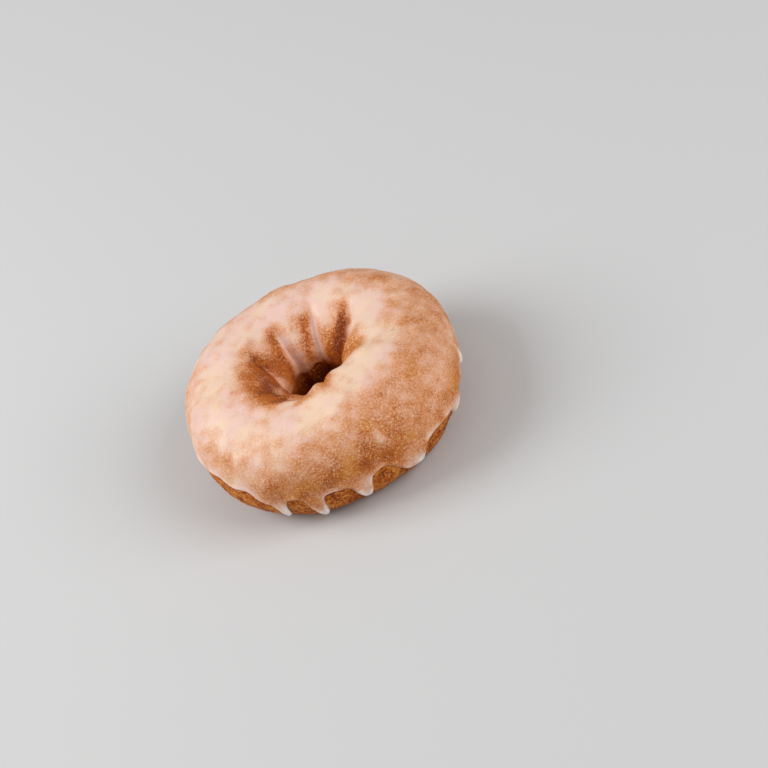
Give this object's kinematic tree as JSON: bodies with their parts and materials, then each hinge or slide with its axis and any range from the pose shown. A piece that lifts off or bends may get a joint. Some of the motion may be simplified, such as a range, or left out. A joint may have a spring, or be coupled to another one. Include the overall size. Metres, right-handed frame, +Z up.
{
  "type": "glazed ring doughnut",
  "caption": "Ring doughnut with a creased funnel round its hole, a flat base and a thin glaze that ends in drips on the side.",
  "frame": {"origin": "middle of the bottom of the doughnut's box, on the table, in the middle of the ring", "axes": "+Z up along the hole's axis; -Y is the side that the picture shows nearest"},
  "size_m": [0.092, 0.09, 0.0372],
  "materials": {
    "crust": "matte",
    "glaze": "satin"
  },
  "bodies": {
    "root": {"doughnut": "crust"}
  },
  "joints": []
}
